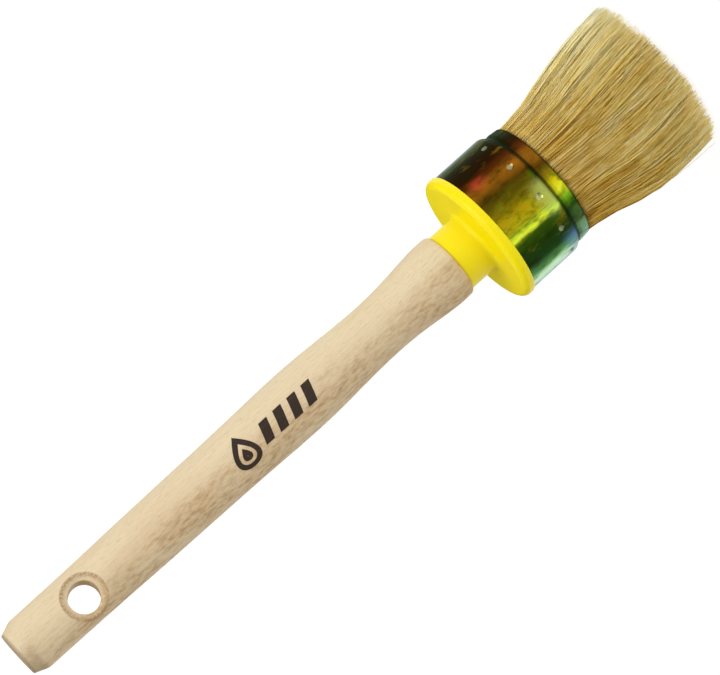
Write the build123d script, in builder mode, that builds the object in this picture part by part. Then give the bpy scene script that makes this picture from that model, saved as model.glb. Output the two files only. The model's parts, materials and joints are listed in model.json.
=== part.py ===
from build123d import *
import os
from math import asin, degrees, sqrt

os.makedirs("parts", exist_ok=True)

# Round stencil brush, standing on its bristle tips, in millimetres.
# The origin is the centre of the flat tip face, +Z runs up the handle, and the hanging hole runs along Y.
# An azimuth is an angle about Z from -Y, positive towards +X.

# Driving dimensions
bristle_length = 50.0  # free length, from the ferrule's mouth to the tips
ferrule_length = 24.6
ferrule_radius = 22.5
sheet = 0.5  # ferrule steel
flange_radius = 23.0
flange_thickness = 3.7
neck_radius = 10.1
neck_length = 10.3
handle_length = 175.7  # visible wood
tenon_radius = 7.0
tenon_length = 15.0
glue_gap = 0.15
hole_radius = 5.0
hole_from_butt = 25.5
hole_offset = -1.0  # the hole was drilled a little off the handle's axis, along X

# Handle radius at distances from the butt: butt, belly, waist and the swelling at the collar
handle_stations = [(4.5, 9.1), (30, 9.25), (60, 9.7), (90, 10.05), (121, 10.35), (134, 9.65), (146, 9.33),
                   (154, 9.6), (163, 10.5), (171, 11.15), (handle_length, 10.95)]
butt_radius = 7.3
butt_bevel_round = 5.0
butt_edge_round = 0.5
wood_edge_round = 1.0
tenon_chamfer = 1.0
hole_rim_chamfer = 2.2

# Collar
spigot_length = 4.0  # part of the collar that plugs the ferrule
socket_floor = 2.5
collar_root_round = 1.8
flange_top_round = 2.2
flange_low_round = 0.5
neck_edge_round = 0.3

# Ferrule: centre line of the sheet, as radius inside the wall and height above the mouth
wall_radius = ferrule_radius - sheet / 2
shoulder_height = 6.4
sheet_turns = [(wall_radius, shoulder_height), (20.85, 4.5), (21.05, 3.0)]  # shoulder, groove and rim
sheet_bends = [2.2, 0.7, 1.5]
lip_radius = 20.7
dimple_count = 11
dimple_phase = -45.0  # azimuth of the first dimple
dimple_height = 9.2  # above the mouth, clear of the shoulder bend
dimple_width = 2.5
dimple_depth = 0.5
lap_azimuth = -27.0
lap_arc = 11.0
lap_step = 0.2
lap_margin = 8.2  # the lap ends above the shoulder, this far from the mouth

# Inside the ferrule
resin_thickness = 4.5
plug_radius = 6.0
plug_length = 3.5
roots_radius = 21.4
roots_neck_radius = 20.25
roots_recess = 2.0  # the roots stop this far inside the mouth

# The bristle bends about a point just outside the mouth, so its inner end is a ball about that point
bend_from_mouth = 7.5
ball_radius = 20.9
ball_clearance = 0.35
# Tuft radius at heights above the tips, below the ball
tuft_stations = [(37.0, 22.3), (30.5, 24.1), (24.0, 25.4), (15.0, 26.2), (6.0, 26.2), (0.0, 25.7)]
tip_edge_round = 0.8

# Heights
mouth_z = bristle_length
flange_z = mouth_z + ferrule_length
neck_z = flange_z + flange_thickness
wood_z = neck_z + neck_length
butt_z = wood_z + handle_length
bevel_z = butt_z - handle_stations[0][0]
hole_z = butt_z - hole_from_butt
spigot_z = flange_z - spigot_length
socket_z = spigot_z + socket_floor
tenon_z = wood_z - tenon_length
resin_z = spigot_z - resin_thickness
bend_z = mouth_z - bend_from_mouth
roots_z = mouth_z + roots_recess
bore_radius = ferrule_radius - sheet
socket_ball = ball_radius + ball_clearance
socket_rim = sqrt(socket_ball**2 - (roots_z - bend_z) ** 2)
socket_angle = degrees(asin((roots_z - bend_z) / socket_ball))


def rings_at(part, height):
    """Circular edges of a part at one height, the smallest first."""
    rings = part.edges().filter_by(GeomType.CIRCLE)
    return rings.filter_by_position(Axis.Z, height - 0.1, height + 0.1).sort_by(SortBy.RADIUS)


# Handle: turned wood with a tenon, a bevelled butt and a cross-drilled hanging hole
with BuildPart() as handle:
    side_points = [(radius, butt_z - along) for along, radius in handle_stations]
    with BuildSketch(Plane.XZ):
        with BuildLine():
            Spline(side_points)
            Polyline(
                side_points[-1],
                (tenon_radius, wood_z),
                (tenon_radius, tenon_z),
                (0, tenon_z),
                (0, butt_z),
                (butt_radius, butt_z),
                side_points[0],
            )
        make_face()
    revolve(axis=Axis.Z)
    fillet(rings_at(handle, bevel_z), radius=butt_bevel_round)
    fillet(rings_at(handle, butt_z), radius=butt_edge_round)
    fillet(rings_at(handle, wood_z)[-1], radius=wood_edge_round)
    chamfer(rings_at(handle, tenon_z), length=tenon_chamfer)
    with Locations(Plane((hole_offset, 0, hole_z), x_dir=(1, 0, 0), z_dir=(0, -1, 0))):
        Hole(hole_radius)
    chamfer(handle.edges(Select.LAST).filter_by(GeomType.LINE, reverse=True), length=hole_rim_chamfer)
handle.part.label = "handle"
export_step(handle.part, "parts/handle.step")


# Film of glue between the tenon and its socket, with a disc of glue under the tenon
with BuildPart() as tenon_glue:
    with BuildSketch(Plane.XY.offset(tenon_z)):
        Circle(tenon_radius + glue_gap)
        Circle(tenon_radius, mode=Mode.SUBTRACT)
    extrude(amount=tenon_length - tenon_chamfer)
    with BuildSketch(Plane.XY.offset(socket_z)):
        Circle(tenon_radius + glue_gap)
    extrude(amount=tenon_z - socket_z)
tenon_glue.part.label = "tenon_glue"
export_step(tenon_glue.part, "parts/tenon_glue.step")


# Collar: socketed neck, flange over the ferrule's edge, and a spigot inside the ferrule
with BuildPart() as collar:
    with BuildSketch(Plane.XY.offset(spigot_z)):
        Circle(bore_radius)
    extrude(amount=spigot_length)
    with BuildSketch(Plane.XY.offset(flange_z)):
        Circle(flange_radius)
    extrude(amount=flange_thickness)
    with BuildSketch(Plane.XY.offset(neck_z)):
        Circle(neck_radius)
    extrude(amount=neck_length)
    fillet(rings_at(collar, neck_z)[0], radius=collar_root_round)
    fillet(rings_at(collar, neck_z)[-1], radius=flange_top_round)
    fillet(rings_at(collar, flange_z)[-1], radius=flange_low_round)
    fillet(rings_at(collar, wood_z), radius=neck_edge_round)
    with BuildSketch(Plane.XY.offset(socket_z)):
        Circle(tenon_radius + glue_gap)
    extrude(amount=wood_z - socket_z, mode=Mode.SUBTRACT)
collar.part.label = "collar"
export_step(collar.part, "parts/collar.step")


# Ferrule: bent sheet with a lap seam and a ring of punched dimples
dimple_ball = (dimple_width**2 / 4 + dimple_depth**2) / (2 * dimple_depth)
dimple_centre = ferrule_radius - dimple_depth + dimple_ball
dimple_z = mouth_z + dimple_height
with BuildPart() as ferrule:
    with BuildSketch(Plane.XZ):
        with BuildLine():
            turns = [(radius, mouth_z + height) for radius, height in sheet_turns]
            FilletPolyline((wall_radius, flange_z), *turns, (lip_radius, mouth_z), radius=sheet_bends)
        trace(line_width=sheet)
    revolve(axis=Axis.Z)
    # Each dimple is a ball-shaped dent that pushes the sheet in, so the sheet keeps its thickness there.
    # A ring outside the wall trims the outer balls back to it.
    with Locations(Plane.XY.offset(dimple_z)):
        with PolarLocations(dimple_centre, dimple_count, start_angle=dimple_phase - 90):
            Sphere(dimple_ball + sheet)
    with BuildSketch(Plane.XY.offset(dimple_z - dimple_width)):
        Circle(dimple_centre + 2 * dimple_ball)
        Circle(ferrule_radius, mode=Mode.SUBTRACT)
    extrude(amount=2 * dimple_width, mode=Mode.SUBTRACT)
    with Locations(Plane.XY.offset(dimple_z)):
        with PolarLocations(dimple_centre, dimple_count, start_angle=dimple_phase - 90):
            Sphere(dimple_ball, mode=Mode.SUBTRACT)
    # The lap of the seam stands proud of the wall
    lap_middle = (ferrule_radius, (flange_z + mouth_z + lap_margin) / 2)
    with BuildSketch(Plane.XZ.rotated((0, 0, lap_azimuth - 90 - lap_arc / 2))):
        with Locations(lap_middle):
            Rectangle(2 * lap_step, ferrule_length - lap_margin)
    revolve(axis=Axis.Z, revolution_arc=lap_arc)
ferrule.part.label = "ferrule"
export_step(ferrule.part, "parts/ferrule.step")


# Epoxy that holds the roots of the bristle, cast against the collar's spigot
with BuildPart() as resin_block:
    with BuildSketch(Plane.XY.offset(resin_z)):
        Circle(bore_radius)
    extrude(amount=resin_thickness)
    with BuildSketch(Plane.XY.offset(resin_z)):
        Circle(plug_radius)
    extrude(amount=plug_length, mode=Mode.SUBTRACT)
resin_block.part.label = "resin_block"
export_step(resin_block.part, "parts/resin_block.step")


# Plug at the middle of the bundle
with BuildPart() as filler_plug:
    with BuildSketch(Plane.XY.offset(resin_z)):
        Circle(plug_radius)
    extrude(amount=plug_length)
filler_plug.part.label = "filler_plug"
export_step(filler_plug.part, "parts/filler_plug.step")


# Held part of the bristle, with a ball-shaped seat that leaves the free part room to bend
with BuildPart() as bristle_roots:
    with BuildSketch(Plane.XZ):
        with BuildLine():
            CenterArc((0, bend_z), socket_ball, socket_angle, 90 - socket_angle)
            Polyline(
                (0, bend_z + socket_ball),
                (0, resin_z),
                (roots_radius, resin_z),
                (roots_radius, dimple_z),
                (roots_neck_radius, mouth_z + shoulder_height),
                (roots_neck_radius, roots_z),
                (socket_rim, roots_z),
            )
        make_face()
    revolve(axis=Axis.Z)
bristle_roots.part.label = "bristle_roots"
export_step(bristle_roots.part, "parts/bristle_roots.step")


# Free part of the bristle: a flaring tuft cut flat at the tips
with BuildPart() as bristle_tuft:
    flank_points = [(ball_radius, bend_z)] + [(radius, height) for height, radius in tuft_stations]
    with BuildSketch(Plane.XZ):
        with BuildLine():
            CenterArc((0, bend_z), ball_radius, 0, 90)
            Spline(flank_points)
            Polyline((0, bend_z + ball_radius), (0, 0), flank_points[-1])
        make_face()
    revolve(axis=Axis.Z)
    fillet(rings_at(bristle_tuft, 0), radius=tip_edge_round)
bristle_tuft.part.label = "bristle_tuft"
export_step(bristle_tuft.part, "parts/bristle_tuft.step")
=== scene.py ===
import json
import math

import bpy
import numpy as np
from mathutils import Matrix, Vector


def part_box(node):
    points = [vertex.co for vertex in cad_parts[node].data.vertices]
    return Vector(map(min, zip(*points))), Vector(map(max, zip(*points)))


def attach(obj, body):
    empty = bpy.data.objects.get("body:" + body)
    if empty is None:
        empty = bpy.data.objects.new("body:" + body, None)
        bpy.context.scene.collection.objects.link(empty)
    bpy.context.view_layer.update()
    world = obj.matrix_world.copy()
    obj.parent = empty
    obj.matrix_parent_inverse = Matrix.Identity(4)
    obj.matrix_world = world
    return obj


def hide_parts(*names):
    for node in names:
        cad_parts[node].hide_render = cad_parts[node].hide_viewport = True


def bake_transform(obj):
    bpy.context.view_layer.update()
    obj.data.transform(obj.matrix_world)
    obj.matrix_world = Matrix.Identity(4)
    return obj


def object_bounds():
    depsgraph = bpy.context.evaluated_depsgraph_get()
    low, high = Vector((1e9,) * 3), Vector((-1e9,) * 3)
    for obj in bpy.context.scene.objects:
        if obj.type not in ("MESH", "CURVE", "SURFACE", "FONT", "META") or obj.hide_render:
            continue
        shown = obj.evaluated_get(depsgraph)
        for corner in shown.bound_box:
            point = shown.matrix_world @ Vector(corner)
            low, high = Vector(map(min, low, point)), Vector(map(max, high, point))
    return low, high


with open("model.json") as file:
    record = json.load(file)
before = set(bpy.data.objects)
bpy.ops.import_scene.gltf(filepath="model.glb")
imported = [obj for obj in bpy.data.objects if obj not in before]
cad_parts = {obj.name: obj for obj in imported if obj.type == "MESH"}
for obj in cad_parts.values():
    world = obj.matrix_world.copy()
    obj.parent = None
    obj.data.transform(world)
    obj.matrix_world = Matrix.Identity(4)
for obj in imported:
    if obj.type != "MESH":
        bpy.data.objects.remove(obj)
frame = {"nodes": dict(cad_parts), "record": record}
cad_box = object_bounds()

MM = 0.001
BUTT_Z = cad_box[1].z
MOUTH_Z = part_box("ferrule")[0].z
FLANGE_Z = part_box("ferrule")[1].z
WALL_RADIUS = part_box("ferrule")[1].x
PIVOT_Z = frame["record"]["behaviour"]["joints"][0]["pos_m"][2]

# Camera: a long lens, a metre away, rolled so that the brush lies across the frame
LENS_MM = 173.0
CAMERA_DISTANCE = 1.03  # along the ground, in metres
CAMERA_SEES = 200.0
CAMERA_AZIMUTH = math.radians(-5)
CAMERA_ELEVATION = math.radians(10)
CAMERA_ROLL = math.radians(132.1)
AIM_BELOW_BUTT = 140 * MM
AIM_ASIDE = 1.8 * MM


# ---------------------------------------------------------------- node helpers


def srgb(red, green, blue):
    """An 8-bit display colour as linear RGBA."""
    channels = [c / 255 for c in (red, green, blue)]
    return tuple(c / 12.92 if c <= 0.04045 else ((c + 0.055) / 1.055) ** 2.4 for c in channels) + (1.0,)


class Finish:
    """One material, with short calls for the nodes that it is built from."""

    def __init__(self, name, **sockets):
        self.material = bpy.data.materials.new(name)
        self.material.use_nodes = True
        self.tree = self.material.node_tree
        self.shader = self.tree.nodes["Principled BSDF"]
        for socket, value in sockets.items():
            self.shader.inputs[socket.replace("_", " ")].default_value = value
        self.place = self.add("ShaderNodeTexCoord").outputs["Object"]

    def add(self, kind, inputs=None, **settings):
        node = self.tree.nodes.new(kind)
        for key, value in settings.items():
            setattr(node, key, value)
        for key, value in (inputs or {}).items():
            self.feed(node.inputs[key], value)
        return node

    def feed(self, socket, value):
        if isinstance(value, bpy.types.NodeSocket):
            self.tree.links.new(value, socket)
        else:
            socket.default_value = value

    def set(self, socket, value):
        self.feed(self.shader.inputs[socket], value)

    def noise(self, scale, detail=3.0, roughness=0.55):
        """Noise from 0 to 1, with about scale cells per metre along X, Y and Z."""
        place = self.add("ShaderNodeMapping", {"Vector": self.place, "Scale": scale}).outputs["Vector"]
        inputs = {"Vector": place, "Scale": 1.0, "Detail": detail, "Roughness": roughness}
        return self.add("ShaderNodeTexNoise", inputs).outputs["Fac"]

    def axes(self):
        """X, Y and Z of the object coordinates, in metres."""
        return self.add("ShaderNodeSeparateXYZ", {"Vector": self.place}).outputs

    def math(self, operation, a, b=0.0):
        return self.add("ShaderNodeMath", {0: a, 1: b}, operation=operation).outputs[0]

    def product(self, first, *others):
        for other in others:
            first = self.math("MULTIPLY", first, other)
        return first

    def distance(self, a, b):
        """How far the point (a, b) is from the origin of its plane."""
        squares = self.math("ADD", self.math("POWER", a, 2), self.math("POWER", b, 2))
        return self.math("SQRT", squares)

    def span(self, value, low, high, to_low=0.0, to_high=1.0):
        """value carried from low..high to to_low..to_high, eased and clamped."""
        names = {"Value": value, "From Min": low, "From Max": high, "To Min": to_low, "To Max": to_high}
        return self.add("ShaderNodeMapRange", names, interpolation_type="SMOOTHSTEP").outputs["Result"]

    def ramp(self, value, stops):
        """A colour from (position, colour) stops."""
        node = self.add("ShaderNodeValToRGB", {"Fac": value})
        band = node.color_ramp
        while len(band.elements) < len(stops):
            band.elements.new(0.5)
        for element, (position, colour) in zip(band.elements, stops):
            element.position = position
            element.color = colour
        return node.outputs["Color"]

    def mix(self, share, first, second):
        node = self.add("ShaderNodeMix", data_type="RGBA")
        self.feed(node.inputs[0], share)
        self.feed(node.inputs[6], first)
        self.feed(node.inputs[7], second)
        return node.outputs[2]

    def bump(self, height, depth, strength, under=None):
        inputs = {"Height": height, "Distance": depth, "Strength": strength}
        if under:
            inputs["Normal"] = under
        return self.add("ShaderNodeBump", inputs).outputs["Normal"]


def dress(node, finish):
    """Gives a CAD node its material."""
    node.data.materials.clear()
    node.data.materials.append(finish.material)


# ---------------------------------------------------------------- materials


RING_NORMAL = (0.8, 0.6)  # the growth rings of the handle lie square to this direction in X and Y
# Painted shade on the bevel (BEVEL_) and end grain on the butt (BUTT_) start to show at these distances below
# the butt, and show fully at these
BEVEL_START = 5.5 * MM
BEVEL_FULL = 3.0 * MM
BUTT_START = 1.2 * MM
BUTT_FULL = 0.2 * MM
# Distances from the middle of the hanging hole: painted shade in its countersink grows from SUNK_START to
# SUNK_FULL
HOLE = frame["record"]["mounts"][0]
BORE_RADIUS = HOLE["dims"]["r_mm"] * MM
SUNK_START = BORE_RADIUS + 0.3 * MM
SUNK_FULL = BORE_RADIUS + 1.9 * MM
SUNK_EDGE = BORE_RADIUS + 2.2 * MM
SUNK_END = BORE_RADIUS + 2.5 * MM


def beech():
    """Pale beech: fine fibres along the handle, soft bands, brown ray mottling, and painted shade on the -X
    side, on its bevel and in the countersink of the hole.
    """
    wood = Finish("beech", Specular_IOR_Level=0.2)
    axes = wood.axes()
    bands = wood.noise((90, 60, 7), detail=2)
    fibres = wood.noise((2600, 2600, 70), detail=4, roughness=0.65)
    pores = wood.noise((4200, 4200, 380), detail=2)
    clouds = wood.noise((60, 60, 24), detail=3)

    colour = wood.mix(wood.span(bands, 0.35, 0.65), srgb(229, 209, 173), srgb(231, 214, 177))
    colour = wood.mix(wood.span(clouds, 0.45, 0.8, 0, 0.35), colour, srgb(210, 178, 136))
    colour = wood.mix(wood.span(fibres, 0.35, 0.8, 0, 0.26), colour, srgb(190, 160, 116))
    colour = wood.mix(wood.span(pores, 0.55, 0.75, 0, 0.35), colour, srgb(156, 124, 84))

    # Ray flecks show as mottling where the surface is tangent to the growth rings. Painted shade: the -X
    # side, away from the key light, gets a broad darker tone, and the flecks gather there.
    part_x = wood.product(axes[0], RING_NORMAL[0])
    across_rings = wood.math("ADD", part_x, wood.product(axes[1], RING_NORMAL[1]))
    faces = wood.span(wood.math("ABSOLUTE", across_rings), 1.5 * MM, 8.0 * MM)
    shaded_side = wood.span(across_rings, -9.2 * MM, -3.5 * MM, 1.0, 0.12)
    patches = wood.span(wood.noise((95, 95, 34), detail=2), 0.35, 0.62, 0.3, 1.0)
    where = wood.product(faces, shaded_side, patches)
    rays = wood.noise((900, 900, 330), detail=3, roughness=0.6)
    mottle = wood.product(wood.span(rays, 0.36, 0.76), where)
    # Painted shade: a broad darker tone on the -X side, then the ray flecks over it
    colour = wood.mix(wood.product(where, 0.42), colour, srgb(200, 164, 114))
    colour = wood.mix(wood.product(mottle, 0.65), colour, srgb(154, 112, 64))

    # Painted shade in the countersink of the hole: speckled, and darker towards its outer edge
    across = wood.math("SUBTRACT", axes[0], HOLE["pos_m"][0])
    along = wood.math("SUBTRACT", axes[2], HOLE["pos_m"][2])
    reach = wood.distance(across, along)
    # cut is the mask of the painted shade in the countersink
    cut = wood.product(wood.span(reach, SUNK_START, SUNK_FULL), wood.span(reach, SUNK_END, SUNK_EDGE))
    grit = wood.span(wood.noise((1500, 1500, 1500), detail=3), 0.35, 0.65, 0.35, 0.95)
    colour = wood.mix(wood.product(cut, grit), colour, srgb(172, 138, 98))

    # End grain on the butt is darker, greyer and speckled; the bevel gets painted shade on the -X side
    # Painted shade on the bevel, only on the -X side
    bevel_shade = wood.span(axes[2], BUTT_Z - BEVEL_START, BUTT_Z - BEVEL_FULL, 0, 0.5)
    colour = wood.mix(wood.product(bevel_shade, shaded_side), colour, srgb(144, 120, 90))
    end_grain = wood.span(axes[2], BUTT_Z - BUTT_START, BUTT_Z - BUTT_FULL, 0, 0.7)
    speckle = wood.span(wood.noise((1800, 1800, 1800), detail=2), 0.4, 0.7)
    end_colour = wood.mix(speckle, srgb(160, 140, 112), srgb(124, 106, 82))
    wood.set("Base Color", wood.mix(end_grain, colour, end_colour))

    wood.set("Roughness", wood.span(fibres, 0.3, 0.7, 0.46, 0.62))
    relief = wood.bump(fibres, 0.12 * MM, 0.35)
    wood.set("Normal", wood.bump(mottle, 0.10 * MM, 0.3, relief))
    return wood


def yellow_plastic():
    """Bright yellow moulded plastic with a faint orange-peel surface and light handling marks."""
    depth = {"Subsurface_Weight": 0.06, "Subsurface_Scale": 2 * MM, "Subsurface_Radius": (1.0, 0.7, 0.1)}
    plastic = Finish("yellow_plastic", Specular_IOR_Level=0.2, **depth)
    flow = plastic.noise((60, 60, 45), detail=2)
    dust = plastic.noise((1400, 1400, 1400), detail=3)
    colour = plastic.mix(plastic.span(flow, 0.3, 0.7), srgb(253, 235, 2), srgb(250, 228, 4))
    colour = plastic.mix(plastic.span(dust, 0.6, 0.85, 0, 0.12), colour, srgb(226, 202, 40))
    plastic.set("Base Color", colour)
    plastic.set("Roughness", plastic.span(dust, 0.3, 0.8, 0.30, 0.44))
    peel = plastic.noise((450, 450, 450), detail=2)
    scuffs = plastic.noise((220, 1400, 220), detail=2)
    relief = plastic.bump(peel, 0.08 * MM, 0.25)
    plastic.set("Normal", plastic.bump(plastic.span(scuffs, 0.62, 0.7), 0.02 * MM, 0.4, relief))
    return plastic


# Places on the ferrule that its finish follows. A pair bounds a fade.
GROOVE_Z = MOUTH_Z + 4.7 * MM
GROOVE_HALF = 0.9 * MM
LIP_TOP_Z = MOUTH_Z + 0.6 * MM
LIP_DARK_Z = MOUTH_Z + 0.1 * MM
SHOULDER_TOP_Z = MOUTH_Z + 12.5 * MM
SHOULDER_FULL_Z = MOUTH_Z + 6.0 * MM
DIMPLES_LOW_Z = MOUTH_Z + 7.2 * MM
DENT_START = WALL_RADIUS - 0.05 * MM
DENT_FULL = WALL_RADIUS - 0.30 * MM

# Colours round the ferrule, as (azimuth in degrees, colour): film colours that drift with the film's
# thickness round the ring, and painted reflections: dark towards +X, pale teal towards -X, and a bright
# painted highlight streak by the lap seam near -27 degrees
WALL_FILM_AND_REFLECTIONS = [
    (-175, (84, 92, 22)), (-150, (150, 140, 30)), (-128, (60, 92, 40)), (-108, (120, 160, 150)),
    (-92, (166, 198, 214)), (-82, (220, 244, 226)), (-73, (208, 246, 200)), (-64, (84, 140, 76)),
    (-54, (24, 54, 18)), (-40, (30, 54, 8)), (-30, (52, 80, 10)), (-27, (224, 240, 58)),
    (-24, (184, 204, 44)), (-20, (170, 160, 18)), (-8, (164, 140, 12)), (2, (84, 76, 8)),
    (12, (80, 58, 8)), (21, (150, 92, 18)), (30, (84, 40, 8)), (40, (38, 17, 3)), (58, (28, 18, 3)),
    (74, (66, 74, 36)), (96, (110, 112, 44)), (120, (176, 132, 44)), (146, (104, 72, 24)),
]
RIM_FILM_AND_REFLECTIONS = [
    (-170, (120, 130, 40)), (-130, (90, 130, 90)), (-96, (170, 206, 190)), (-80, (170, 210, 186)),
    (-64, (120, 160, 120)), (-50, (82, 110, 56)), (-36, (32, 74, 16)), (-27, (120, 176, 30)),
    (-20, (238, 244, 50)), (-12, (222, 206, 24)), (-3, (132, 112, 18)), (8, (92, 60, 12)),
    (20, (150, 98, 22)), (30, (104, 54, 14)), (40, (52, 26, 8)), (52, (38, 34, 8)),
    (70, (32, 54, 30)), (96, (70, 90, 50)), (125, (150, 140, 40)),
]


def passivated_steel():
    """Zinc plate with a yellow passivation: a thin film whose colours drift from brown to yellow to green,
    with painted reflections and highlights, and painted shade in the groove and on the lip.
    """
    steel = Finish("passivated_steel", Metallic=1.0, Specular_Tint=srgb(205, 215, 205))
    axes = steel.axes()
    drift = steel.noise((150, 150, 60), detail=4, roughness=0.6)
    blots = steel.noise((260, 260, 120), detail=4, roughness=0.6)
    turn = steel.math("ARCTAN2", axes[0], steel.math("MULTIPLY", axes[1], -1.0))
    around = steel.math("ADD", steel.math("DIVIDE", turn, math.tau), 0.5)
    wander = steel.math("MULTIPLY", steel.math("SUBTRACT", drift, 0.5), 0.035)
    film_place = steel.math("ADD", around, wander)

    # A ramp round the ring of film colours and painted reflections
    def film(colours):
        stops = sorted((azimuth / 360 + 0.5, srgb(*colour)) for azimuth, colour in colours)
        return steel.ramp(film_place, stops)

    def between(low, high, fade=12):
        """1 between two azimuths in degrees, fading out over fade degrees on each side."""
        rise = steel.span(around, (low - fade) / 360 + 0.5, low / 360 + 0.5)
        fall = steel.span(around, (high + fade) / 360 + 0.5, high / 360 + 0.5)
        return steel.product(rise, fall)

    on_wall = steel.span(axes[2], GROOVE_Z - 0.3 * MM, GROOVE_Z + 0.3 * MM)
    colour = steel.mix(on_wall, film(RIM_FILM_AND_REFLECTIONS), film(WALL_FILM_AND_REFLECTIONS))
    colour = steel.mix(steel.span(blots, 0.48, 0.78, 0, 0.85), colour, srgb(26, 32, 4))
    colour = steel.mix(steel.span(blots, 0.46, 0.24, 0, 0.28), colour, srgb(196, 160, 30))

    # Green patches on the front, and painted reflections in a pale band above the groove, green in front and
    # blue towards -X
    patches = steel.span(steel.noise((230, 230, 190), detail=3), 0.50, 0.62, 0, 0.6)
    colour = steel.mix(steel.product(patches, between(-16, 4, 8)), colour, srgb(64, 104, 12))
    shoulder_reflection = steel.product(steel.span(axes[2], SHOULDER_TOP_Z, SHOULDER_FULL_Z, 0, 0.45), on_wall)
    colour = steel.mix(steel.product(shoulder_reflection, between(-24, -8)), colour, srgb(166, 206, 120))
    colour = steel.mix(steel.product(shoulder_reflection, between(-76, -60)), colour, srgb(96, 130, 190))

    # A pink bloom on the +X side of the front, which stops short of the flange
    bloom = steel.span(steel.noise((340, 340, 240), detail=3), 0.36, 0.64, 0, 0.6)
    rise = steel.span(axes[2], FLANGE_Z - 9.5 * MM, FLANGE_Z - 6.0 * MM)
    fall = steel.span(axes[2], FLANGE_Z - 1.0 * MM, FLANGE_Z - 4.5 * MM)
    bloom = steel.product(bloom, rise, fall, between(25, 28, 9))
    colour = steel.mix(bloom, colour, srgb(200, 62, 50))

    # Painted highlights in the dimples, and painted shade in the groove and on the lip
    dent = steel.span(steel.distance(axes[0], axes[1]), DENT_START, DENT_FULL, 0, 0.45)
    on_dimples = steel.span(axes[2], DIMPLES_LOW_Z, DIMPLES_LOW_Z + 0.4 * MM)
    colour = steel.mix(steel.product(dent, on_dimples), colour, srgb(204, 214, 172))
    from_groove = steel.math("ABSOLUTE", steel.math("SUBTRACT", axes[2], GROOVE_Z))
    colour = steel.mix(steel.span(from_groove, GROOVE_HALF, 0.3 * MM, 0, 0.8), colour, srgb(16, 34, 14))
    colour = steel.mix(steel.span(axes[2], LIP_TOP_Z, LIP_DARK_Z, 0, 0.8), colour, srgb(44, 18, 8))
    steel.set("Base Color", colour)

    rough = steel.span(blots, 0.3, 0.7, 0.14, 0.28)
    steel.set("Roughness", steel.math("ADD", rough, steel.product(dent, 0.7)))
    drawn = steel.noise((240, 240, 9000), detail=2)
    steel.set("Normal", steel.bump(drawn, 0.02 * MM, 0.25, steel.bump(drift, 0.4 * MM, 0.15)))
    return steel


# Colours of hair, from the darkest tone at 0 to the palest at 1
HAIR_TONES = [
    (0.0, srgb(150, 94, 8)), (0.25, srgb(234, 194, 80)), (0.5, srgb(252, 230, 140)),
    (0.75, srgb(255, 242, 178)), (1.0, srgb(255, 250, 216)),
]


def natural_bristle():
    """Straw-coloured hair: each hair has its own tone and painted shade towards the root, and its tip is
    paler or, on a few, dark.
    """
    hair = Finish("natural_bristle", Roughness=0.5, Specular_IOR_Level=0.05)
    tone = hair.add("ShaderNodeAttribute", attribute_name="tone").outputs["Fac"]
    along = hair.add("ShaderNodeAttribute", attribute_name="along").outputs["Fac"]
    # Patches about a centimetre long, so that no streak runs the whole length of the tuft
    patches = hair.span(hair.noise((620, 620, 110), detail=3), 0.3, 0.7, -0.16, 0.16)
    colour = hair.ramp(hair.math("ADD", tone, patches), HAIR_TONES)
    mottle = hair.noise((900, 900, 260), detail=2)
    colour = hair.mix(hair.span(mottle, 0.4, 0.75, 0, 0.15), colour, srgb(218, 170, 62))
    # Painted shade: the hairs darken towards the ferrule's mouth
    colour = hair.mix(hair.span(along, 0.60, 0.15, 0, 0.40), colour, srgb(216, 168, 60))
    colour = hair.mix(hair.span(along, 0.82, 1.0, 0, 0.15), colour, srgb(254, 244, 208))
    dark_tips = hair.product(hair.span(along, 0.93, 0.98), hair.span(tone, 0.24, 0.14))
    hair.set("Base Color", hair.mix(dark_tips, colour, srgb(84, 78, 70)))
    hair.set("Normal", hair.bump(mottle, 0.04 * MM, 0.3))
    return hair


def tuft_heart():
    """The shaded hair deep in the tuft, streaked along its length."""
    heart = Finish("tuft_heart", Roughness=0.8, Specular_IOR_Level=0.1)
    streaks = heart.noise((1700, 1700, 40), detail=3)
    colour = heart.mix(heart.span(streaks, 0.35, 0.65), srgb(190, 132, 20), srgb(234, 186, 70))
    heart.set("Base Color", colour)
    heart.set("Normal", heart.bump(streaks, 0.4 * MM, 0.8))
    return heart


def print_ink():
    """Dark brown pad-printed ink, a little worn so that the grain shows through."""
    ink = Finish("print_ink", Specular_IOR_Level=0.3)
    wear = ink.noise((2400, 2400, 160), detail=3)
    ink.set("Base Color", ink.mix(ink.span(wear, 0.5, 0.8, 0, 0.4), srgb(48, 34, 22), srgb(96, 74, 50)))
    ink.set("Roughness", ink.span(wear, 0.3, 0.7, 0.45, 0.65))
    return ink


def hidden(name, colour, cells):
    """A plain finish for a piece that is closed in, with a little mottling."""
    finish = Finish(name, Roughness=0.6)
    mottle = finish.noise((cells, cells, cells), detail=3)
    darker = tuple(c * 0.6 for c in colour[:3]) + (1.0,)
    finish.set("Base Color", finish.mix(finish.span(mottle, 0.3, 0.7), colour, darker))
    finish.set("Normal", finish.bump(mottle, 0.1 * MM, 0.3))
    return finish


# ---------------------------------------------------------------- mesh helpers


def mesh_piece(name, points, faces, finish):
    """A mesh object in the object's frame, from an array of points and one or more arrays of faces."""
    mesh = bpy.data.meshes.new(name)
    flat = [row for block in faces for row in np.asarray(block).tolist()]
    mesh.from_pydata(np.asarray(points).tolist(), [], flat)
    mesh.polygons.foreach_set("use_smooth", [True] * len(mesh.polygons))
    mesh.materials.append(finish.material)
    piece = bpy.data.objects.new(name, mesh)
    bpy.context.scene.collection.objects.link(piece)
    return piece


def point_values(piece, name, values):
    """Stores one number per point for the material to read."""
    layer = piece.data.attributes.new(name, "FLOAT", "POINT")
    layer.data.foreach_set("value", np.asarray(values, np.float32))


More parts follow.
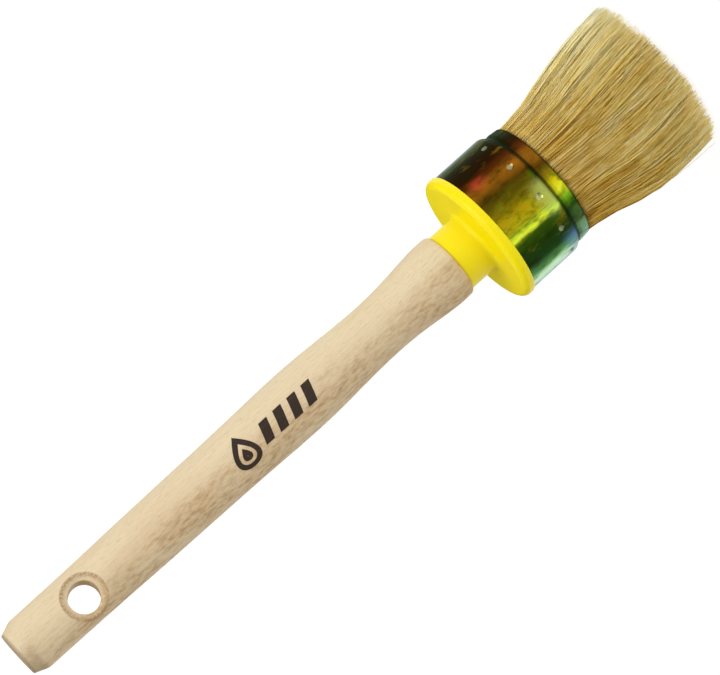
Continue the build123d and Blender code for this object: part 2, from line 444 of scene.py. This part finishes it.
# ---------------------------------------------------------------- bristle

HAIRS_PER_PIECE = 4400
HAIR_PIECES = 4
HAIR_STEPS = 8
HAIR_SIDES = 3
HAIR_ROOT_RADIUS = 0.11 * MM
HAIR_TIP_RADIUS = 0.06 * MM
HAIR_THICKNESS = (0.8, 1.2)  # of one hair against another
HAIR_SEED = 11
SHARES = np.linspace(0, 1, HAIR_STEPS)  # the steps of a hair, from 0 at its root to 1 at its tip
ROOT_Z = MOUTH_Z + 3.5 * MM
ROOT_SPREAD = 20.15 * MM

# Hairs stick together in locks, and locks lean together in sheaves
LOCKS = 560
SHEAVES = 40
LOCK_PULL = (-0.05, 0.50)  # share of the way to its lock's middle that a tip is drawn
DRAWN_FROM = 0.2  # share of a hair's length that keeps clear of its lock
LOCK_SINK = 0.5 * MM  # the most that a lock's tips are moved towards the tuft's axis

# Standard deviations of how far hairs lean, bow and wave sideways, and of how far short they are cut
LOCK_LEAN = 0.7 * MM
LOCK_BOW = 0.45 * MM
LOCK_SHORT = 0.75 * MM
SHEAF_LEAN = 0.7 * MM
HAIR_LEAN = 1.5 * MM
HAIR_BOW = 0.35 * MM
HAIR_WAVE = 0.42 * MM
HAIR_SHORT = 0.60 * MM

# A share of the hairs is much shorter, and a share of the outer ones stands out from the tuft
SHORTER_SHARE = 0.05
SHORTER_BY = (1.0 * MM, 4.0 * MM)
OUTER_REACH = 0.90  # outer hairs start beyond this share of the tuft's radius
STRAY_SHARE = 0.008
STRAY_BY = (0.4 * MM, 1.6 * MM)

# The tuft as a whole
CUT_HEIGHT = 0.1 * MM  # the cut is this high at the middle, tilted, and nowhere lower
CUT_TILT = np.array([-0.010, -0.040])  # rise per metre along X and Y
SWEEP = 1.4 * MM  # the tips lean this far towards +X
SIDE_BOW = -0.8 * MM  # halfway along, the hairs bow this far along X
FLUFF = 0.9 * MM  # at the tips, the hairs stand this far outside the CAD solid

# Tones run from 0, the darkest hair, to 1, the palest
MEAN_TONE = 0.49
SHEAF_TONE_SPREAD = 0.06
LOCK_TONE_SPREAD = 0.05
HAIR_TONE_SPREAD = 0.12
DARK_SHARE = 0.05
DARK_TONES = (0.02, 0.22)
# Painted light: hairs towards +X, on the key light's side, are paler
PAINTED_LIGHT_TOWARDS_X = 0.18
PALER_AT_TIPS = 0.60
MEAN_TONE_AT = 0.35  # share of its length at which a hair has its own mean tone
TONE_LIMITS = (0.02, 0.98)


def tuft_radius(heights):
    """The tuft's outer radius at given heights: the CAD solid's flank, carried into the ferrule."""
    points = np.array([v.co for v in frame["nodes"]["bristle_tuft"].data.vertices])
    radii = np.hypot(points[:, 0], points[:, 1])
    clear_of_tips = points[:, 2] > 2 * MM
    clear_of_pivot = points[:, 2] < PIVOT_Z - 3 * MM
    flank = clear_of_tips & clear_of_pivot & (radii > ROOT_SPREAD)
    order = np.argsort(points[flank, 2])
    z = np.append(points[flank, 2][order], [MOUTH_Z, ROOT_Z])
    r = np.append(radii[flank][order], [ROOT_SPREAD, ROOT_SPREAD])
    return np.interp(heights, z, r)


def disc_points(count, random):
    """Evenly spread points in a unit disc: a sunflower pattern, shaken."""
    index = np.arange(count) + 0.5
    radius = np.sqrt(index / count)
    angle = index * math.pi * (3 - math.sqrt(5))
    shake = random.normal(0, 0.35 / math.sqrt(count), (count, 2))
    points = np.stack([radius * np.cos(angle), radius * np.sin(angle)], axis=1) + shake
    reach = np.maximum(np.linalg.norm(points, axis=1), 1e-9)
    return points * np.minimum(1, 1 / reach)[:, None]


def nearest(points, centres, random):
    """The index of the centre that each point belongs to, with ragged borders."""
    gap = np.linalg.norm(points[:, None, :] - centres[None, :, :], axis=2)
    return np.argmin(gap + random.normal(0, 0.012, gap.shape), axis=1)


def hair_paths(random):
    """Centre lines of all hairs, as an array (hair, step, xyz), with their tones (hair, step)."""
    count = HAIRS_PER_PIECE * HAIR_PIECES
    roots = disc_points(count, random)
    locks = disc_points(LOCKS, random)
    lock = nearest(roots, locks, random)
    sheaf = nearest(roots, disc_points(SHEAVES, random), random)

    lock_pull = random.uniform(*LOCK_PULL, LOCKS)
    lock_lean = random.normal(0, LOCK_LEAN, (LOCKS, 2))
    lock_bow = random.normal(0, LOCK_BOW, (LOCKS, 2))
    lock_sink = random.uniform(0, LOCK_SINK, LOCKS)
    lock_short = np.abs(random.normal(0, LOCK_SHORT, LOCKS))
    lock_tone = random.normal(0, LOCK_TONE_SPREAD, LOCKS)
    sheaf_lean = random.normal(0, SHEAF_LEAN, (SHEAVES, 2))
    sheaf_tone = random.normal(MEAN_TONE, SHEAF_TONE_SPREAD, SHEAVES)

    reach = np.linalg.norm(roots, axis=1)
    outward = roots / np.maximum(reach, 1e-6)[:, None]
    cut = CUT_HEIGHT + roots * tuft_radius(0) @ CUT_TILT
    ragged = lock_short[lock] + np.abs(random.normal(0, HAIR_SHORT, count))
    ragged += np.where(random.random(count) < SHORTER_SHARE, random.uniform(*SHORTER_BY, count), 0)
    tip_z = np.maximum(cut, CUT_HEIGHT) + ragged
    lean = lock_lean[lock] + sheaf_lean[sheaf] + random.normal(0, HAIR_LEAN, (count, 2))
    bow = lock_bow[lock] + random.normal(0, HAIR_BOW, (count, 2))
    wave = random.normal(0, HAIR_WAVE, (count, 2))
    stray = (reach > OUTER_REACH) & (random.random(count) < STRAY_SHARE)
    splay = np.where(stray, random.uniform(*STRAY_BY, count), 0)

    paths = np.zeros((count, HAIR_STEPS, 3))
    for step, share in enumerate(SHARES):
        z = ROOT_Z + (tip_z - ROOT_Z) * share
        radius = (tuft_radius(z) + FLUFF * share**2)[:, None]
        own = roots * radius
        drawn = max(0.0, (share - DRAWN_FROM) / (1 - DRAWN_FROM)) ** 1.3
        place = own + (locks[lock] * radius - own) * (lock_pull[lock] * drawn)[:, None]
        place += lean * share**2
        place += bow * math.sin(math.pi * share) + wave * math.sin(math.tau * share)
        place += outward * (splay * share**3 - lock_sink[lock] * share)[:, None]
        # Only the stray hairs may pass the tuft's surface
        limit = radius + (splay * share**3)[:, None]
        far = np.linalg.norm(place, axis=1)[:, None]
        place *= np.minimum(1, limit / np.maximum(far, 1e-9))
        place[:, 0] += SWEEP * share**2 + SIDE_BOW * math.sin(math.pi * share) ** 2
        paths[:, step, :2] = place
        paths[:, step, 2] = z
    return paths, hair_tones(roots, sheaf_tone[sheaf] + lock_tone[lock], random)


def hair_tones(roots, shared, random):
    """The tone of each hair at each step, from the tone that it shares with its lock and sheaf."""
    count = len(roots)
    # Painted light raises the tone towards +X
    tone = shared + random.normal(0, HAIR_TONE_SPREAD, count) + PAINTED_LIGHT_TOWARDS_X * roots[:, 0]
    tone = np.where(random.random(count) < DARK_SHARE, random.uniform(*DARK_TONES, count), tone)
    # On the +X and -X sides of the tuft the hairs grow paler towards their tips
    side = roots[:, 0, None] ** 2
    tones = tone[:, None] + PALER_AT_TIPS * side * (SHARES - MEAN_TONE_AT)
    return np.clip(tones, *TONE_LIMITS)


def hair_piece(name, paths, tones, finish, random):
    """Closed three-sided tapering hairs along the given centre lines."""
    count = len(paths)
    turn = random.uniform(0, math.tau, count)
    corners = np.arange(HAIR_SIDES) * math.tau / HAIR_SIDES
    angle = turn[:, None] + corners[None, :]
    thick = random.uniform(*HAIR_THICKNESS, count)
    rings = []
    for step, share in enumerate(SHARES):
        radius = (HAIR_ROOT_RADIUS + (HAIR_TIP_RADIUS - HAIR_ROOT_RADIUS) * share) * thick
        ring = np.repeat(paths[:, step, None, :], HAIR_SIDES, axis=1)
        ring[:, :, 0] += radius[:, None] * np.cos(angle)
        ring[:, :, 1] += radius[:, None] * np.sin(angle)
        rings.append(ring)
    points = np.stack(rings, axis=1).reshape(-1, 3)

    per_hair = HAIR_STEPS * HAIR_SIDES
    starts = np.arange(count)[:, None] * per_hair
    sides = []
    for step in range(HAIR_STEPS - 1):
        for side in range(HAIR_SIDES):
            here = step * HAIR_SIDES + side
            beside = step * HAIR_SIDES + (side + 1) % HAIR_SIDES
            sides.append(starts + np.array([here, here + HAIR_SIDES, beside + HAIR_SIDES, beside]))
    root_cap = starts + np.arange(HAIR_SIDES)
    tip_cap = starts + (per_hair - 1 - np.arange(HAIR_SIDES))
    piece = mesh_piece(name, points, [np.concatenate(sides), root_cap, tip_cap], finish)
    point_values(piece, "tone", np.repeat(tones, HAIR_SIDES, axis=1).ravel())
    point_values(piece, "along", np.tile(np.repeat(SHARES, HAIR_SIDES), count))
    return piece


HEART_SIDES = 96
HEART_LEVELS = 16
HEART_LOW_Z = 5.0 * MM
HEART_SHARE = 0.86  # of the tuft's radius
HEART_FLUTES = [(17, 0.012, 0), (29, 0.008, 1)]  # how many round the body, depth as a share, phase


def heart_piece(finish):
    """A closed, slightly fluted body inside the hairs, so that nothing shows through the tuft."""
    angle = np.arange(HEART_SIDES) * math.tau / HEART_SIDES
    flute = 1 + sum(depth * np.sin(angle * number + phase) for number, depth, phase in HEART_FLUTES)
    rings = []
    for z in np.linspace(ROOT_Z, HEART_LOW_Z, HEART_LEVELS):
        radius = tuft_radius(z) * HEART_SHARE * flute
        ring = [radius * np.cos(angle), radius * np.sin(angle), np.full(HEART_SIDES, z)]
        rings.append(np.stack(ring, axis=1))
    sides = []
    for level in range(HEART_LEVELS - 1):
        here = level * HEART_SIDES + np.arange(HEART_SIDES)
        beside = level * HEART_SIDES + (np.arange(HEART_SIDES) + 1) % HEART_SIDES
        sides.append(np.stack([here, here + HEART_SIDES, beside + HEART_SIDES, beside], axis=1))
    top = np.arange(HEART_SIDES)[None, :]
    bottom = (HEART_LEVELS * HEART_SIDES - 1 - np.arange(HEART_SIDES))[None, :]
    return mesh_piece("bristle_heart", np.concatenate(rings), [np.concatenate(sides), top, bottom], finish)


def bristle():
    """All hair, shaped from the ferrule's mouth to the tips, with a closed body inside, in place of the CAD
    tuft and roots.
    """
    random = np.random.default_rng(HAIR_SEED)
    paths, tones = hair_paths(random)
    hair = natural_bristle()
    # Every piece gets hairs from all over the tuft
    pieces = [
        hair_piece(f"bristle_hairs_{i + 1}", paths[i::HAIR_PIECES], tones[i::HAIR_PIECES], hair, random)
        for i in range(HAIR_PIECES)
    ]
    pieces.append(heart_piece(tuft_heart()))
    for piece in pieces:
        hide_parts("bristle_tuft", "bristle_roots")
        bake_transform(piece)


# ---------------------------------------------------------------- printed mark

MARK_START = 84.5 * MM  # from the butt
MARK_AZIMUTH = math.radians(-6)
MARK_RADIUS = 10 * MM  # of the handle there
MARK_PROUD = 0.03 * MM
DROP_HEIGHT = 11.6 * MM
DROP_WIDTH = 9.6 * MM
DROP_PEAK = 0.78  # largest value of the formula for the drop's width
DROP_RING = (0.62, 1.0)  # the ring and the dot, as shares of the drop's outline
DROP_DOT = (0.02, 0.36)
BAR_COUNT = 4
BAR_GAP = 1.6 * MM  # between the drop and the first bar
BAR_PITCH = 5.7 * MM
BAR_WIDTH = 3.3 * MM
BAR_HEIGHT = 6.4 * MM
BAR_SLANT = 2.2 * MM


def on_handle(along, across):
    """The point of the handle's surface at a distance from the butt and a distance round it."""
    turn = MARK_AZIMUTH + across / MARK_RADIUS
    out = Vector((math.sin(turn), -math.cos(turn), 0))
    clear_of_handle = out * 5 * MARK_RADIUS + Vector((0, 0, BUTT_Z - along))
    hit = frame["nodes"]["handle"].ray_cast(clear_of_handle, -out)[1]
    return hit + out * MARK_PROUD


def ringed_patch(rings):
    """Points and faces of a patch between outlines of equal length."""
    points = [on_handle(*place) for ring in rings for place in ring]
    size = len(rings[0])
    faces = []
    for level in range(len(rings) - 1):
        for i in range(size - 1):
            a = level * size + i
            faces.append([a, a + 1, a + 1 + size, a + size])
    return points, faces


def drop_patch(inner, outer):
    """A paint drop that stands across the handle, between two shares of its full outline."""
    steps = 48
    ring_count = 5
    centre = 0.34 * DROP_HEIGHT

    def outline(share):
        ring = []
        for i in range(steps + 1):
            angle = math.tau * i / steps
            wide = math.sin(angle) * math.sin(angle / 2) ** 1.3 / DROP_PEAK * DROP_WIDTH / 2
            high = (0.5 + 0.5 * math.cos(angle)) * DROP_HEIGHT
            across = centre + (high - centre) * share - DROP_HEIGHT / 2
            ring.append((MARK_START + DROP_WIDTH / 2 + wide * share, across))
        return ring

    return ringed_patch([outline(share) for share in np.linspace(inner, outer, ring_count)])


def bar_patch(start):
    """A slanted bar across the handle."""
    columns = 4
    rows = 12
    rings = []
    for row in range(rows + 1):
        left = start + BAR_SLANT * row / rows
        across = (row / rows - 0.5) * BAR_HEIGHT
        rings.append([(left + BAR_WIDTH * column / columns, across) for column in range(columns + 1)])
    return ringed_patch(rings)


def printed_mark():
    """A generic mark: a ringed paint drop and a row of slanted bars."""
    patches = [drop_patch(*DROP_RING), drop_patch(*DROP_DOT)]
    for bar in range(BAR_COUNT):
        patches.append(bar_patch(MARK_START + DROP_WIDTH + BAR_GAP + bar * BAR_PITCH))
    points = []
    faces = []
    for patch_points, patch_faces in patches:
        faces += [[i + len(points) for i in face] for face in patch_faces]
        points += patch_points
    mark = mesh_piece("printed_mark", points, [faces], print_ink())
    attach(mark, "brush")


# ---------------------------------------------------------------- studio

SKY_LOW = 0.04
SKY_AT_ZENITH = 1.1
SKY_LOW_UP_TO = 0.25  # sine of the elevation
FLOOR_HALF = 60.0
FLOOR_GREY = 0.20
FLOOR_GLOW = 0.88
WHITE = (1.0, 1.0, 1.0, 1.0)
KEY_STRENGTH = 1.52
KEY_SPREAD = math.radians(50)
KEY_AZIMUTH = math.radians(35)
KEY_ELEVATION = math.radians(40)


def floor():
    """A wide floor that glows like a light table, so that shadows on it stay faint."""
    pale = Finish("studio_floor", Roughness=0.9, Specular_IOR_Level=0.1, Emission_Strength=FLOOR_GLOW)
    pale.set("Base Color", (FLOOR_GREY, FLOOR_GREY, FLOOR_GREY, 1.0))
    pale.set("Emission Color", WHITE)
    half = FLOOR_HALF
    points = [(-half, -half, 0), (half, -half, 0), (half, half, 0), (-half, half, 0)]
    mesh_piece("studio_floor", points, [[[0, 1, 2, 3]]], pale)


def sky():
    """Dim light from all round, brighter overhead. The camera itself sees plain white."""
    world = bpy.data.worlds.new("studio")
    world.use_nodes = True
    nodes = world.node_tree.nodes
    links = world.node_tree.links
    direction = nodes.new("ShaderNodeSeparateXYZ")
    links.new(nodes.new("ShaderNodeTexCoord").outputs["Generated"], direction.inputs["Vector"])
    level = nodes.new("ShaderNodeMapRange")
    level.inputs["From Min"].default_value = SKY_LOW_UP_TO
    level.inputs["To Min"].default_value = SKY_LOW
    level.inputs["To Max"].default_value = SKY_AT_ZENITH
    links.new(direction.outputs["Z"], level.inputs["Value"])
    seen = nodes.new("ShaderNodeMix")
    seen.inputs["B"].default_value = 1.0
    links.new(nodes.new("ShaderNodeLightPath").outputs["Is Camera Ray"], seen.inputs["Factor"])
    links.new(level.outputs["Result"], seen.inputs["A"])
    links.new(seen.outputs["Result"], nodes["Background"].inputs["Strength"])
    nodes["Background"].inputs["Color"].default_value = WHITE
    bpy.context.scene.world = world


def towards(azimuth, elevation):
    """Unit vector from the brush towards an azimuth and elevation."""
    level = math.cos(elevation)
    return Vector((math.sin(azimuth) * level, -math.cos(azimuth) * level, math.sin(elevation)))


def key_light():
    """A wide soft light from above, on the +X side of the camera, even over the whole floor."""
    data = bpy.data.lights.new("key_light", "SUN")
    data.energy = KEY_STRENGTH
    data.angle = KEY_SPREAD
    light = bpy.data.objects.new("key_light", data)
    bpy.context.scene.collection.objects.link(light)
    light.rotation_mode = "QUATERNION"
    light.rotation_quaternion = towards(KEY_AZIMUTH, KEY_ELEVATION).to_track_quat("Z", "Y")


def camera():
    """The camera of the photo, aimed at a point below the butt and rolled about its view."""
    data = bpy.data.cameras.new("camera")
    data.lens = LENS_MM
    data.clip_end = CAMERA_SEES
    cam = bpy.data.objects.new("camera", data)
    bpy.context.scene.collection.objects.link(cam)
    back = towards(CAMERA_AZIMUTH, CAMERA_ELEVATION)
    level_right = Vector((math.cos(CAMERA_AZIMUTH), math.sin(CAMERA_AZIMUTH), 0))
    level_up = back.cross(level_right)
    right = level_right * math.cos(CAMERA_ROLL) - level_up * math.sin(CAMERA_ROLL)
    up = level_right * math.sin(CAMERA_ROLL) + level_up * math.cos(CAMERA_ROLL)
    aim = level_right * AIM_ASIDE + Vector((0, 0, BUTT_Z - AIM_BELOW_BUTT))
    turned = Matrix((right, up, back)).transposed().to_4x4()
    away = back * CAMERA_DISTANCE / math.cos(CAMERA_ELEVATION)
    cam.matrix_world = Matrix.Translation(aim + away) @ turned
    bpy.context.scene.camera = cam


def main():
    """Dresses the CAD nodes, adds the hair and the mark, and sets up the studio."""
    dress(frame["nodes"]["handle"], beech())
    dress(frame["nodes"]["collar"], yellow_plastic())
    dress(frame["nodes"]["ferrule"], passivated_steel())
    dress(frame["nodes"]["tenon_glue"], hidden("wood_glue", srgb(232, 220, 176), 600))
    dress(frame["nodes"]["resin_block"], hidden("epoxy", srgb(150, 112, 60), 300))
    dress(frame["nodes"]["filler_plug"], hidden("plug_wood", srgb(206, 172, 120), 900))
    printed_mark()
    bristle()
    floor()
    sky()
    key_light()
    camera()
    bpy.context.scene.view_settings.view_transform = "Standard"


main()
